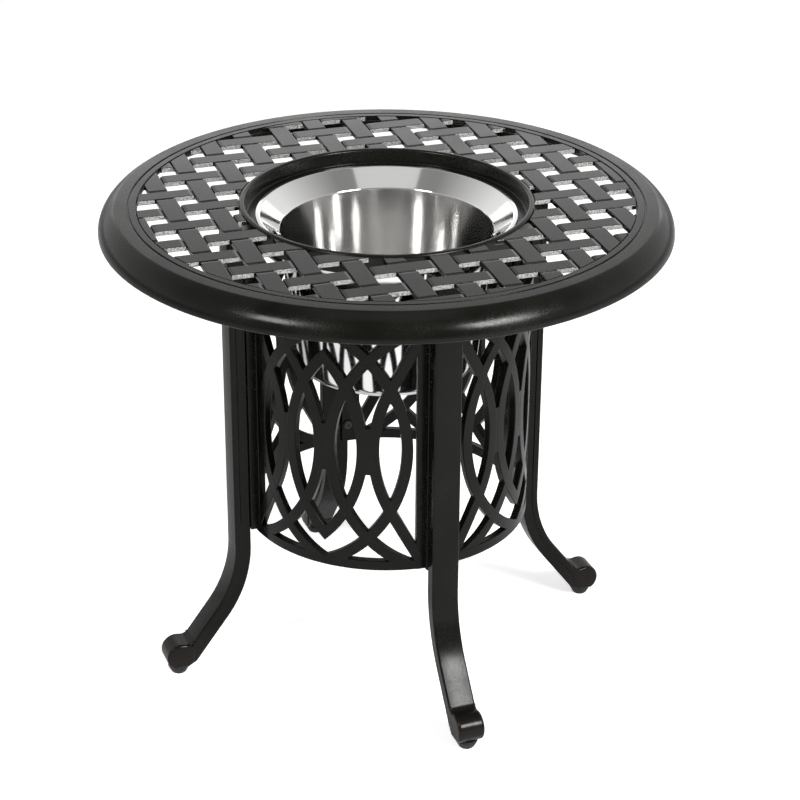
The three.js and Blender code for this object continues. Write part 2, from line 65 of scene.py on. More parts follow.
def eased(corners, radius, steps=4):
    """Line through corner points with every inner corner rounded. Where the sides leave a
    corner in the unit directions a and b with the angle t between them, the arc touches them
    at radius / tan(t / 2) and its centre is radius / sin(t / 2) away along a + b. One more
    point past either end of the arc keeps the flat sides flat. The end points stay."""
    p = np.asarray(corners, float)
    r = np.broadcast_to(np.asarray(radius, float), len(p) - 2)[:, None]
    a, b = p[:-2] - p[1:-1], p[2:] - p[1:-1]
    a /= np.linalg.norm(a, axis=1, keepdims=True)
    b /= np.linalg.norm(b, axis=1, keepdims=True)
    t = np.arccos(np.clip((a * b).sum(1), -1, 1))[:, None]
    reach = r / np.tan(t / 2)
    centre = p[1:-1] + (a + b) / np.linalg.norm(a + b, axis=1, keepdims=True) * r / np.sin(t / 2)
    first, last = p[1:-1] + a * reach, p[1:-1] + b * reach
    s = np.linspace(0, 1, steps + 1)[None, :, None]
    swing = (np.pi - t)[:, :, None]
    turn = (np.sin((1 - s) * swing) * (first - centre)[:, None]
            + np.sin(s * swing) * (last - centre)[:, None]) / np.sin(swing)
    rounds = np.concatenate([(first + a * r / 4)[:, None], centre[:, None] + turn,
                             (last + b * r / 4)[:, None]], 1)
    return np.concatenate([p[:1], rounds.reshape(-1, 2), p[-1:]])


def turned(profile, sides=288):
    """Surface of revolution: profile point (r, z) at the angle a becomes (r cos a, r sin a, z)."""
    a = 2 * np.pi * np.arange(sides) / sides
    r, z = np.asarray(profile, float).T
    grid = [np.outer(r, np.cos(a)), np.outer(r, np.sin(a)), np.outer(z, np.ones(sides))]
    return np.stack(grid, -1)


def skin(points, closed=True, caps=False):
    """Quads of a grid of points: quad (i, j) joins (i, j), (i, j+1), (i+1, j+1) and (i+1, j).
    Columns always close on themselves. Rows do so where closed is true, and caps puts a face
    over the first and the last row instead. All faces are turned round if the enclosed volume
    is negative."""
    rows, columns = points.shape[:2]
    i = np.arange(rows if closed and not caps else rows - 1)[:, None]
    j = np.arange(columns)[None, :]
    below, beside = (i + 1) % rows, (j + 1) % columns
    quads = np.stack(np.broadcast_arrays(i * columns + j, i * columns + beside,
                                         below * columns + beside, below * columns + j), -1)
    quads = quads.reshape(-1, 4)
    flat = points.reshape(-1, 3)
    middle = flat.mean(0)
    p, q, r, s = (flat[quads[:, k]] - middle for k in range(4))
    inside_out = (p * np.cross(q, r) + p * np.cross(r, s)).sum() < 0
    faces = quads.tolist()
    if caps:
        first_row = np.arange(columns)
        faces += [first_row[::-1].tolist(), (first_row + (rows - 1) * columns).tolist()]
    return flat, [face[::-1] for face in faces] if inside_out else faces


def smoothed(mesh):
    """Shades a mesh smooth, except over edges that bend by more than 38 degrees."""
    mesh.polygons.foreach_set("use_smooth", np.ones(len(mesh.polygons), bool))
    mesh.set_sharp_from_angle(angle=np.radians(38))


def put_in(name, surfaces, finish, body, replaced, merged=False):
    """Makes one mesh piece from surfaces, each a pair of points in millimetres and faces.
    Where merged is true, points that fall together, as at a pole, become one."""
    starts = np.cumsum([0] + [len(points) for points, _ in surfaces[:-1]])
    points = np.concatenate([points for points, _ in surfaces]) / 1000
    faces = [[corner + int(start) for corner in face]
             for start, (_, part) in zip(starts, surfaces) for face in part]
    mesh = bpy.data.meshes.new(name)
    mesh.from_pydata(points, [], faces)
    piece = bpy.data.objects.new(name, mesh)
    bpy.context.scene.collection.objects.link(piece)
    if merged:
        work = bmesh.new()
        work.from_mesh(mesh)
        bmesh.ops.remove_doubles(work, verts=work.verts, dist=1e-6)
        bmesh.ops.dissolve_degenerate(work, edges=work.edges, dist=1e-7)
        work.to_mesh(mesh)
        work.free()
    smoothed(mesh)
    mesh.materials.append(finish)
    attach(piece, body)
    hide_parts(*replaced)
    return piece


def add_node(tree, kind, settings=(), **inputs):
    """One shader node with its settings and socket values."""
    made = tree.nodes.new(kind)
    for key, value in dict(settings).items():
        setattr(made, key, value)
    for key, value in inputs.items():
        made.inputs[key.replace("_", " ")].default_value = value
    return made


def join(tree, *pairs):
    """Links each pair of sockets, from output to input."""
    for source, target in pairs:
        tree.links.new(source, target)


def group_of(name, inputs, outputs):
    """Empty shader node group: float inputs after its Position, and float outputs."""
    group = bpy.data.node_groups.new(name, "ShaderNodeTree")
    group.interface.new_socket("Position", in_out="INPUT", socket_type="NodeSocketVector")
    for label in inputs:
        group.interface.new_socket(label, in_out="INPUT", socket_type="NodeSocketFloat")
    for label in outputs:
        group.interface.new_socket(label, in_out="OUTPUT", socket_type="NodeSocketFloat")
    return (group, group.nodes.new("NodeGroupInput").outputs,
            group.nodes.new("NodeGroupOutput").inputs)


# Orange peel and grain of the powder coat: two sizes of noise for the height, a slow one for
# the shade, and the slow one mixed with the fine grain for the gloss.
coat_grain, given, result = group_of("coat_grain", ["Peel", "Grain"], ["Height", "Shade", "Gloss"])
peel = add_node(coat_grain, "ShaderNodeTexNoise", Detail=2.0, Roughness=0.5)
grit = add_node(coat_grain, "ShaderNodeTexNoise", Detail=2.0, Roughness=0.6)
cloud = add_node(coat_grain, "ShaderNodeTexNoise", Scale=17.0, Detail=4.0, Roughness=0.55)
mix_height = add_node(coat_grain, "ShaderNodeMix", [("data_type", "FLOAT")])
mix_height.inputs[0].default_value = 0.42
spread = add_node(coat_grain, "ShaderNodeMapRange", From_Min=0.33, From_Max=0.67)
specks = add_node(coat_grain, "ShaderNodeMapRange", From_Min=0.36, From_Max=0.64)
mix_gloss = add_node(coat_grain, "ShaderNodeMix", [("data_type", "FLOAT")])
mix_gloss.inputs[0].default_value = 0.5
for noise in (peel, grit, cloud):
    join(coat_grain, (given["Position"], noise.inputs["Vector"]))
join(coat_grain,
     (given["Peel"], peel.inputs["Scale"]),
     (given["Grain"], grit.inputs["Scale"]),
     (peel.outputs["Fac"], mix_height.inputs[2]),
     (grit.outputs["Fac"], mix_height.inputs[3]),
     (mix_height.outputs[0], result["Height"]),
     (cloud.outputs["Fac"], spread.inputs["Value"]),
     (spread.outputs["Result"], result["Shade"]),
     (spread.outputs["Result"], mix_gloss.inputs[2]),
     (grit.outputs["Fac"], specks.inputs["Value"]),
     (specks.outputs["Result"], mix_gloss.inputs[3]),
     (mix_gloss.outputs[0], result["Gloss"]))


def colour_mix(tree, factor, first, second):
    """Mix node between two colours, each a socket or a plain value. Its colours go in at the
    sockets 6 and 7 and come out at 2."""
    mixer = add_node(tree, "ShaderNodeMix", [("data_type", "RGBA")])
    join(tree, (factor, mixer.inputs[0]))
    for socket, colour in ((6, first), (7, second)):
        if isinstance(colour, tuple):
            mixer.inputs[socket].default_value = (*colour, 1)
        else:
            join(tree, (colour, mixer.inputs[socket]))
    return mixer.outputs[2]


def span(tree, value, low, high, from_low=0.0, from_high=1.0):
    """Value carried from one range to another."""
    ranged = add_node(tree, "ShaderNodeMapRange", From_Min=from_low, From_Max=from_high,
                      To_Min=low, To_Max=high)
    join(tree, (value, ranged.inputs["Value"]))
    return ranged.outputs["Result"]


def new_finish(name):
    """New material, with its node tree, its shader and the coordinates of the piece."""
    finish = bpy.data.materials.new(name)
    finish.use_nodes = True
    tree = finish.node_tree
    place = add_node(tree, "ShaderNodeTexCoord").outputs["Object"]
    return finish, tree, tree.nodes["Principled BSDF"], place


def grained(tree, place, peel, grain):
    """Outputs of the coat's grain, with its two noises at the scales peel and grain."""
    coat = add_node(tree, "ShaderNodeGroup", [("node_tree", coat_grain)], Peel=peel, Grain=grain)
    join(tree, (place, coat.inputs["Position"]))
    return coat.outputs


def relief(tree, shader, height, strength, distance):
    """Lets a height bend the shader's normal."""
    bump = add_node(tree, "ShaderNodeBump", Strength=strength, Distance=distance)
    join(tree, (height, bump.inputs["Height"]), (bump.outputs["Normal"], shader.inputs["Normal"]))


def powder_coat(name, dark, pale, rough, shine):
    """Satin powder coat: cloudy shade between dark and pale, uneven gloss, orange peel."""
    finish, tree, shader, place = new_finish(name)
    shader.inputs["Specular IOR Level"].default_value = shine
    shader.inputs["Specular Tint"].default_value = (1, 0.998, 0.98, 1)
    grain = grained(tree, place, 300.0, 560.0)
    join(tree, (colour_mix(tree, grain["Shade"], dark, pale), shader.inputs["Base Color"]),
         (span(tree, grain["Gloss"], *rough), shader.inputs["Roughness"]))
    relief(tree, shader, grain["Height"], 0.3, 0.00012)
    return finish, tree, shader, place


COAT_DARK = (0.0028, 0.0028, 0.002)
COAT_PALE = (0.0052, 0.0051, 0.0039)
top_coat = powder_coat("satin_black_top", COAT_DARK, COAT_PALE, rough=(0.11, 0.35), shine=0.17)[0]

# The crown is three arcs that run on into each other, slack in the middle and tight at the
# shoulder, where the flat land begins. Two arcs that meet have their middles on one line with
# the point where they do. Inside, the crown is a quarter of an ellipse.
CROWN_RADII = (25.0, 34.68, 4.98)
CROWN_JOINTS = (0, 35, 62, 90)
CROWN_STEPS = (14, 12, 8)
crown_middle = np.array([RIM_OUTSIDE - CROWN_RADII[0], RIM_WIDEST])
crown = [arc(crown_middle, CROWN_RADII[0], *CROWN_JOINTS[:2], CROWN_STEPS[0])[1:]]
for k in (1, 2):
    joint = np.radians(CROWN_JOINTS[k])
    to_joint = np.array([np.cos(joint), np.sin(joint)])
    crown_middle = crown_middle + (CROWN_RADII[k - 1] - CROWN_RADII[k]) * to_joint
    crown.append(arc(crown_middle, CROWN_RADII[k], *CROWN_JOINTS[k:k + 2], CROWN_STEPS[k])[1:])
inside_middle = (RIM_OUTSIDE - 2 * LIP_RADIUS - INSIDE_REACH, RIM_WIDEST)
rim_profile = np.concatenate([
    arc((RIM_OUTSIDE - LIP_RADIUS, RIM_WIDEST), LIP_RADIUS, -180, 0, 12),
    *crown,
    eased([(crown_middle[0], RIM_TOP),
           (GROOVE + GROOVE_MOUTH, RIM_TOP), (GROOVE + GROOVE_BED, GROOVE_FLOOR),
           (GROOVE - GROOVE_BED, GROOVE_FLOOR), (GROOVE - GROOVE_MOUTH, RIM_TOP),
           (RIM_INSIDE + STEP_WIDTH, RIM_TOP), (RIM_INSIDE + STEP_WIDTH, RIM_TOP - STEP_DEPTH),
           (RIM_INSIDE, RIM_TOP - STEP_DEPTH), (RIM_INSIDE, WEB_UNDER),
           (inside_middle[0], WEB_UNDER)], [0.35, 0.2, 0.2, 0.35, 0.6, 0.4, 0.5, 1.0], 3)[1:],
    arc(inside_middle, (INSIDE_REACH, WEB_UNDER - RIM_WIDEST), 90, 0, 24)[1:-1],
])
put_in("rim_band", [skin(turned(rim_profile))], top_coat, "table", ["tabletop"])

# Ring round the bucket
# The ring stands a little above the woven field, with its top well rounded. Its bore narrows to
# the ledge that carries the bucket, and four lugs hang from it, one bolted to each leg.
RING_TOP = 535.6
RING_OUTSIDE = 156.5
BORE_MOUTH = 150.3
BORE_FOOT = 148.5
LEDGE_TOP = 519.5
LEDGE_UNDER = LEDGE_TOP - 6
LEDGE_INSIDE = 136.0
LUG_TOP = LEDGE_TOP - 3.1
LUG_BOTTOM = 456.9
LUG_INSIDE = 147.0
LUG_OUTSIDE = 163.4
LUG_HALF = 13.0
LEG_TURNS = (-90, 0, 90, 180)


def eased_loop(corners, radius, steps=4):
    """Closed outline with every corner rounded as in eased."""
    return eased([corners[-1], *corners, corners[0]], radius, steps)[1:-1]


def eased_block(low, high, ease, steps=3):
    """Block with rounded edges: a rectangle with rounded corners carried upwards, drawn in by
    ease (1 - sin a) at the height ease (1 - cos a) from either end, with a from 0 to 90. One
    more outline a little past either rounding keeps the flat sides flat."""
    (x0, y0, z0), (x1, y1, z1) = low, high
    a = np.linspace(0, np.pi / 2, steps + 1)
    draw = ease * (1 - np.sin(a))
    rise = ease * (1 - np.cos(a))
    draw = np.concatenate([draw, [0, 0], draw[::-1]])
    rise = np.concatenate([z0 + rise, [z0 + 1.3 * ease, z1 - 1.3 * ease], z1 - rise[::-1]])
    loops = [eased_loop([(x0 + d, y0 + d), (x1 - d, y0 + d), (x1 - d, y1 - d), (x0 + d, y1 - d)],
                        ease, steps) for d in draw]
    return np.stack([np.column_stack([loop, np.full(len(loop), z)]) for loop, z in zip(loops, rise)])


def swung(points, degrees):
    """Points turned round the upright axis: (x, y) becomes (x cos a - y sin a, x sin a + y cos a)."""
    a = np.radians(degrees)
    turn = np.array([[np.cos(a), np.sin(a), 0], [-np.sin(a), np.cos(a), 0], [0, 0, 1]])
    return points @ turn


ring_profile = eased_loop([(LEDGE_INSIDE, LEDGE_UNDER), (RING_OUTSIDE, LEDGE_UNDER),
                           (RING_OUTSIDE, RING_TOP), (BORE_MOUTH, RING_TOP),
                           (BORE_FOOT, LEDGE_TOP), (LEDGE_INSIDE, LEDGE_TOP)],
                          [0.9, 1.2, 2.6, 2.6, 1.2, 0.9], 7)
lug = eased_block((LUG_INSIDE, -LUG_HALF, LUG_BOTTOM), (LUG_OUTSIDE, LUG_HALF, LUG_TOP), 1.2)
lugs = [skin(swung(lug, turn), caps=True) for turn in LEG_TURNS]
put_in("bucket_ring", [skin(turned(ring_profile)), *lugs], top_coat, "table",
       ["tabletop"])

# Woven field
# Flat cast bars that look woven: each lies over one crossing and drops, behind a fine gap, under
# the bars at both of its ends. The walls along the bars that run from side to side get a pale,
# grainy colour that is painted light: it stands in for the light these walls catch.
FIELD_TOP = 534.1
FIELD_BOTTOM = 528.9
BAR_WIDTH = 20.5
PITCH = 44.15
SHIFT = (-0.9, 0.9)
FIELD_TURN = -1.25
BAR_TURN = -1.8
BAR_REACH = PITCH - BAR_WIDTH / 2
BAR_END = BAR_REACH + 6
DIP_START = BAR_REACH - 5
DIP_RUN = 3.2
DIP_DEPTH = 0.5
GAP_START = BAR_REACH - 1.7
GAP_RUN = 0.35
GAP_DEPTH = 1.9


def smooth_step(along, start, run):
    """t squared times (3 - 2 t), where t grows from 0 at the start to 1 at the end of the run."""
    t = np.clip((along - start) / run, 0, 1)
    return t * t * (3 - 2 * t)


# One bar along X: its rounded section in (y, z) is carried along x, and its upper half falls
# by the depth of the dip and then of the gap, each over its own smooth step.
section = eased_loop([(-BAR_WIDTH / 2, FIELD_BOTTOM), (BAR_WIDTH / 2, FIELD_BOTTOM),
                      (BAR_WIDTH / 2, FIELD_TOP), (-BAR_WIDTH / 2, FIELD_TOP)],
                     [0.5, 0.5, 0.7, 0.7], 3)
half_stations = np.concatenate([[0, BAR_WIDTH / 2, 20, DIP_START - 0.5],
                                np.linspace(DIP_START, DIP_START + DIP_RUN, 6),
                                GAP_START + np.array([0, 0.1, 0.25, 0.35, 0.6]),
                                [BAR_REACH, BAR_END]])
stations = np.concatenate([-half_stations[:0:-1], half_stations])[:, None]
fall = (DIP_DEPTH * smooth_step(np.abs(stations), DIP_START, DIP_RUN)
        + GAP_DEPTH * smooth_step(np.abs(stations), GAP_START, GAP_RUN))
across, level = section.T
upper = level > (FIELD_TOP + FIELD_BOTTOM) / 2
bar = np.stack(np.broadcast_arrays(stations, across, level - fall * upper), -1)

# Places of the bars: a square lattice, every second bar turned by a quarter.
count = int(np.ceil(RIM_INSIDE / PITCH)) + 1
i, j = (grid.ravel() for grid in np.meshgrid(*[np.arange(-count, count + 1)] * 2))
x, y = SHIFT[0] + i * PITCH, SHIFT[1] + j * PITCH
away = np.hypot(x, y)
kept = (away - BAR_END < RIM_INSIDE) & (away + BAR_END > RING_OUTSIDE)
bars = []
for column, row, u, v in zip(i[kept], j[kept], x[kept], y[kept]):
    laid = swung(bar, BAR_TURN + 90 * ((column + row + 1) % 2)) + (u, v, 0)
    bars.append(skin(swung(laid, FIELD_TURN), caps=True))
field = put_in("woven_field", bars, top_coat, "table", ["tabletop"])

# The field is kept between two radii: its lower half runs into the rim and the ring, and its
# upper half stops short of them, which leaves a fine gap all round.
LOW, HALFWAY, HIGH = 515, 532, 540
ROOT_INSIDE = 153.6
ROOT_OUTSIDE = 266
band = turned([(ROOT_INSIDE, LOW), (ROOT_OUTSIDE, LOW), (ROOT_OUTSIDE, HALFWAY),
               (RIM_INSIDE + 0.1, HALFWAY), (RIM_INSIDE + 0.1, HIGH),
               (RING_OUTSIDE + 1.1, HIGH), (RING_OUTSIDE + 1.1, HALFWAY), (ROOT_INSIDE, HALFWAY)])
limit = put_in("field_limit", [skin(band)], top_coat, "table", ["tabletop"])
cut = field.modifiers.new("kept between rim and ring", "BOOLEAN")
cut.operation = "INTERSECT"
cut.solver = "MANIFOLD"
cut.object = limit
bpy.context.view_layer.update()
trimmed = field.evaluated_get(bpy.context.evaluated_depsgraph_get())
cast_field = bpy.data.meshes.new_from_object(trimmed)
field.modifiers.clear()
field.data = cast_field
bpy.data.objects.remove(limit)
smoothed(cast_field)


def face_vectors(mesh, name):
    """Normals or centres of all faces of a mesh, one row for each."""
    values = np.empty(3 * len(mesh.polygons), np.float32)
    mesh.polygons.foreach_get(name, values)
    return values.reshape(-1, 3)


# Walls that face along the turned Y axis are marked, face by face, for the painted light, except
# where a crossing bar comes within half its width and close to the rim and the ring.
facing = face_vectors(cast_field, "normal")
middle = 1000 * face_vectors(cast_field, "center")
from_axis = np.hypot(middle[:, 0], middle[:, 1])
along_x = swung(middle, -FIELD_TURN)[:, 0] - SHIFT[0]
off_column = np.abs(along_x - PITCH * np.round(along_x / PITCH))
lie = np.radians(FIELD_TURN + BAR_TURN)
painted_light_faces = (np.abs(facing @ (-np.sin(lie), np.cos(lie), 0)) > 0.8) & (off_column > BAR_WIDTH / 2 + 0.2)
painted_light_faces &= (from_axis > RING_OUTSIDE + 2) & (from_axis < RIM_INSIDE - 1)
marks = cast_field.attributes.new("painted_light_wall", "FLOAT", "FACE")
marks.data.foreach_set("value", painted_light_faces.astype(np.float32))

field_coat, tree, shader, place = powder_coat("satin_black_field", COAT_DARK, COAT_PALE,
                                              rough=(0.15, 0.29), shine=0.175)
# Painted light: the marked walls get a pale, grainy colour in place of the coat's.
wall = add_node(tree, "ShaderNodeAttribute", [("attribute_name", "painted_light_wall")])
mottle = add_node(tree, "ShaderNodeTexNoise", Scale=700.0, Detail=3.0, Roughness=0.7)
join(tree, (place, mottle.inputs["Vector"]))
painted_wall_light = colour_mix(tree, span(tree, mottle.outputs["Fac"], 0, 1, 0.38, 0.60),
                     (0.085, 0.085, 0.082), (0.38, 0.38, 0.368))
coated = shader.inputs["Base Color"].links[0].from_socket
join(tree, (colour_mix(tree, wall.outputs["Fac"], coated, painted_wall_light), shader.inputs["Base Color"]))
cast_field.materials.clear()
cast_field.materials.append(field_coat)

# Ice bucket
# Deep-drawn stainless sheet, 1.5 mm thick: a flat flange that rests on the ledge, a sloping
# shoulder, and a tapering wall with a rounded bottom. Polished, with faint turning lines.
FLANGE_TOP = 521.3
BUCKET_BOTTOM = 347.0
SHEET = 1.5
bucket_profile = eased([(0, BUCKET_BOTTOM), (98.75, BUCKET_BOTTOM), (114.9, 501.75),
                        (135.6, FLANGE_TOP - SHEET), (139.4, FLANGE_TOP - SHEET),
                        (139.4, FLANGE_TOP), (134.8, FLANGE_TOP), (113.6, 503.2),
                        (97.4, BUCKET_BOTTOM + SHEET), (0, BUCKET_BOTTOM + SHEET)],
                       [12, 4.0, 1.5, 0.6, 0.6, 2.5, 2.6, 10.5], 8)

# The turning lines are noise over the distance from the axis and the height.
steel, tree, shader, place = new_finish("polished_stainless")
shader.inputs["Metallic"].default_value = 1.0
apart = add_node(tree, "ShaderNodeSeparateXYZ")
flat_place = add_node(tree, "ShaderNodeCombineXYZ")
radius = add_node(tree, "ShaderNodeVectorMath", [("operation", "LENGTH")])
round_place = add_node(tree, "ShaderNodeCombineXYZ")
lines = add_node(tree, "ShaderNodeTexNoise", [("noise_dimensions", "2D")],
                 Scale=700.0, Detail=2.0, Roughness=0.5)
smear = add_node(tree, "ShaderNodeTexNoise", Scale=11.0, Detail=4.0, Roughness=0.55)
join(tree,
     (place, apart.inputs[0]),
     (apart.outputs["X"], flat_place.inputs["X"]),
     (apart.outputs["Y"], flat_place.inputs["Y"]),
     (flat_place.outputs[0], radius.inputs[0]),
     (radius.outputs["Value"], round_place.inputs["X"]),
     (apart.outputs["Z"], round_place.inputs["Y"]),
     (round_place.outputs[0], lines.inputs["Vector"]),
     (place, smear.inputs["Vector"]))
join(tree, (colour_mix(tree, smear.outputs["Fac"], (0.68, 0.678, 0.672), (0.77, 0.765, 0.755)),
            shader.inputs["Base Color"]),
     (span(tree, smear.outputs["Fac"], 0.06, 0.12, 0.3, 0.7), shader.inputs["Roughness"]))
relief(tree, shader, lines.outputs["Fac"], 0.12, 0.000004)
put_in("steel_bucket", [skin(turned(bucket_profile, 216), closed=False)], steel, "bucket",
       ["ice_bucket"], merged=True)

# Legs
# Each leg is one cast bar: a shank with a wider front flange, which flares outwards and ends
# in a rolled toe, flat underneath for its glide. It has the top's coat, but as a darker, less glossy
# copy that is painted shade, and it turns lighter and warmer at the toes as painted light.
LEG_INSIDE = 163.7
LEG_DEPTH = 18.7
LEG_HALF = 15
NECK_HALF = 13.6
NECK_DEPTH = 11.2
FACE_CROWN = 0.7
LEG_HEAD = 528.6
FLARE_TOP = 152.8
FLARE_RADIUS = 144.3
FLARE_TURN = np.radians(37.1)
LEG_RUN = 62
TOE = np.array([248.0, 24.5])
TOE_RADIUS = 16.0
TOE_FLAT = 10.8
TOE_HALF = 14.95
TOE_HOLLOW = 9.0
TOE_ROOT = 9
HEEL_HALF = 13.3
HEEL_BACK = 8.3
HEEL_REACH = 18

# Painted shade: this copy of the coat, for the legs and the lattice, is a little darker and less
# glossy than the top's.
shaded_frame_coat, tree, shader, place = powder_coat("satin_black_frame", (0.0024, 0.0024, 0.0018),
                                            (0.0044, 0.0043, 0.0034), rough=(0.13, 0.32),
                                            shine=0.135)
height = add_node(tree, "ShaderNodeSeparateXYZ")
join(tree, (place, height.inputs[0]))
# Painted light: below 6 cm the coat turns lighter and warmer, standing in for the soft light on the
# toes.
low = span(tree, height.outputs["Z"], 1, 0, 0.02, 0.06)
coated = shader.inputs["Base Color"].links[0].from_socket
join(tree, (colour_mix(tree, low, coated, (0.0105, 0.0082, 0.0073)), shader.inputs["Base Color"]))

# Half of the leg's section in (width, depth from the inner face). On the front face the depth
# falls by the crown times the square of the distance from the middle over half the width.
half = eased([(0, 0), (NECK_HALF, 0), (NECK_HALF, NECK_DEPTH), (LEG_HALF, NECK_DEPTH),
              (LEG_HALF, LEG_DEPTH), (0, LEG_DEPTH)], [1.2, 0.5, 0.6, 1.7])
half = np.concatenate([half[:-1], [(across, LEG_DEPTH) for across in (10, 7.5, 5, 2.5)]])
on_front = half[:, 1] > NECK_DEPTH + 0.8
half[:, 1] -= on_front * FACE_CROWN * (half[:, 0] / LEG_HALF) ** 2
leg_section = np.concatenate([half, [(0, LEG_DEPTH)], half[:0:-1] * (-1, 1)])

# The section is carried down a line that drops straight, turns outwards on a circle round
# flare_centre and runs on straight: a point at depth d is flare_centre
# + (radius - d) (-cos a, -sin a) + s (sin a, -cos a). At its head the leg is drawn in a little.
flare_centre = np.array([LEG_INSIDE + FLARE_RADIUS, FLARE_TOP])
shank_length = LEG_HEAD - FLARE_TOP
drop = np.array([0, 0.6, 1.2, 60, 120, 180, 240, 300, 345, shank_length - 1])
angles = np.linspace(0, FLARE_TURN, 29)
run = np.array([8, 20, 35, 50, LEG_RUN])
a = np.concatenate([np.zeros(len(drop)), angles, np.full(len(run), FLARE_TURN)])[:, None]
s = np.concatenate([drop - shank_length, np.zeros(len(angles)), run])[:, None]
draw = np.zeros(a.shape)
draw[:2, 0] = (0.9, 0.25)
width, depth = leg_section.T
width = width * (1 - draw / LEG_HALF)
depth = LEG_DEPTH / 2 + (depth - LEG_DEPTH / 2) * (1 - draw / 9)
shank = np.stack([flare_centre[0] - (FLARE_RADIUS - depth) * np.cos(a) + s * np.sin(a), width,
                  flare_centre[1] - (FLARE_RADIUS - depth) * np.sin(a) - s * np.cos(a)], -1)


def pointing(direction):
    """Angle of a flat direction, in degrees."""
    return np.degrees(np.arctan2(direction[1], direction[0]))


def slab(outline, half, ease, steps=4):
    """Plate with rounded rims: a closed outline carried across from -half to half and drawn in
    along its own normals by ease (1 - sin a) at ease (1 - cos a) from either side."""
    ahead = np.roll(outline, -1, 0) - np.roll(outline, 1, 0)
    inward = np.stack([-ahead[:, 1], ahead[:, 0]], 1)
    inward /= np.linalg.norm(ahead, axis=1, keepdims=True)
    x, z = outline.T
    if (x * np.roll(z, -1) - np.roll(x, -1) * z).sum() < 0:
        inward = -inward
    a = np.linspace(0, np.pi / 2, steps + 1)
    draw, side = ease * (1 - np.sin(a)), half - ease * (1 - np.cos(a))
    draw = np.concatenate([draw, [0, 0], draw[::-1]])[:, None]
    side = np.concatenate([-side, [-half + 1.3 * ease, half - 1.3 * ease], side[::-1]])[:, None]
    drawn_x, drawn_z = x + draw * inward[:, 0], z + draw * inward[:, 1]
    return np.stack(np.broadcast_arrays(drawn_x, side, drawn_z), -1)


# The toe's outline: a circle with a flat sole and, towards the leg's front face, a hollow whose
# centre lies the hollow's radius off the face and both radii from the toe's centre. It closes
# inside the leg. A heel block fills the leg's own lower end.
up_leg = np.array([-np.sin(FLARE_TURN), np.cos(FLARE_TURN)])
off_face = np.array([np.cos(FLARE_TURN), np.sin(FLARE_TURN)])
reach = np.sqrt((TOE_RADIUS + TOE_HOLLOW) ** 2 - TOE_HOLLOW ** 2)
hollow_centre = TOE + up_leg * reach + off_face * TOE_HOLLOW
touch = pointing(TOE - hollow_centre)
sole_half = np.degrees(np.arccos((TOE[1] - TOE_FLAT) / TOE_RADIUS))
toe_outline = np.concatenate([
    arc(hollow_centre, TOE_HOLLOW, pointing(-off_face), touch, 8),
    arc(TOE, TOE_RADIUS, touch + 180, -90 + sole_half, 40)[1:],
    arc(TOE, TOE_RADIUS, -90 - sole_half, touch - 135, 20),
    [TOE + up_leg * reach - off_face * TOE_ROOT],
])
under_end = flare_centre - FLARE_RADIUS * off_face - LEG_RUN * up_leg
heel_outline = eased_loop([TOE, TOE + (-HEEL_BACK, TOE_FLAT - TOE[1] + 0.05), under_end,
                           under_end + HEEL_REACH * up_leg,
                           under_end + HEEL_REACH * (up_leg + off_face)], 0.8)
leg_shapes = (shank, slab(toe_outline, TOE_HALF, 3.0), slab(heel_outline, HEEL_HALF, 1.0))
for k, turn in enumerate(LEG_TURNS, 1):
    put_in(f"leg_casting_{k}", [skin(swung(shape, turn), caps=True) for shape in leg_shapes],
           shaded_frame_coat, "table", [f"leg_{k}"])

# Lattice panels
# Four curved castings close the drum between the legs: circle arcs that cross and touch at an
# even pitch, framed by two rails and two upright bars, with a pad at each side for the
# screws. The faces of all bars are flush.
PANEL_OUTSIDE = 158.0
PANEL_THICK = 8.0
PANEL_MIDDLE = 314.5
HALF_HEIGHT = 142.0
HALF_RUN = 123.25
ARC_PITCH = 48.03
ARC_RADIUS = 149.7
ARC_HALF = 6.0
RAIL_HALF = 5.75
RAIL_MIDDLE = 130.5 + RAIL_HALF
UPRIGHT_HALF = 11.6
WEB_HALF = 4.5
WEB_REACH = 27
PAD_INSIDE = 149.0
PAD_OUTSIDE = 163.4
PAD_NEAR = 0.8
PAD_FAR = 14.8
PAD_HALF = HALF_HEIGHT - 0.05


def bent(along, height, depth):
    """Wraps the flat panel round the drum: the distance along the face over the drum's radius
    is the angle, and the radius is that of the inner face plus the depth."""
    angle = along / PANEL_OUTSIDE
    radius = PANEL_OUTSIDE - PANEL_THICK + depth
    return np.stack([radius * np.cos(angle), radius * np.sin(angle), PANEL_MIDDLE + height], -1)


def strip_section(half, proud):
    """Rounded rectangle in (across, depth); proud lifts both faces a hair above the next bars,
    so that flush faces don't lie in one and the same surface."""
    return eased_loop([(-half, -proud), (half, -proud), (half, PANEL_THICK + proud),
                       (-half, PANEL_THICK + proud)], 0.9, 4)


def lattice_arc(tangent, side, end, proud, lean=np.pi, meets=False):
    """One bar of the lattice: its section is carried along a circle of the radius R round
    (tangent + side (6 + R), 0). A line of the section at o across has the radius R - o and is
    at R - o times (-side cos a, sin a) from the centre, for a between -lean and lean, and runs
    on straight past it. Where the bar meets its twin in the panel's middle, each line stops
    at the angle at which it gets there, arccos of the centre's distance over its radius."""
    o, depth = strip_section(ARC_HALF, proud).T
    centre = tangent + side * (ARC_HALF + ARC_RADIUS)
    own = ARC_RADIUS - o
    limit = np.arccos(abs(centre) / own) if meets else np.full_like(own, end)
    a = np.linspace(-1, 1, 61)[:, None] * limit
    held = np.clip(a, -lean, lean)
    past = (a - held) * ARC_RADIUS
    along = centre - side * own * np.cos(held) + side * past * np.sin(held)
    height = own * np.sin(held) + past * np.cos(held)
    return bent(along, height, np.broadcast_to(depth, along.shape))


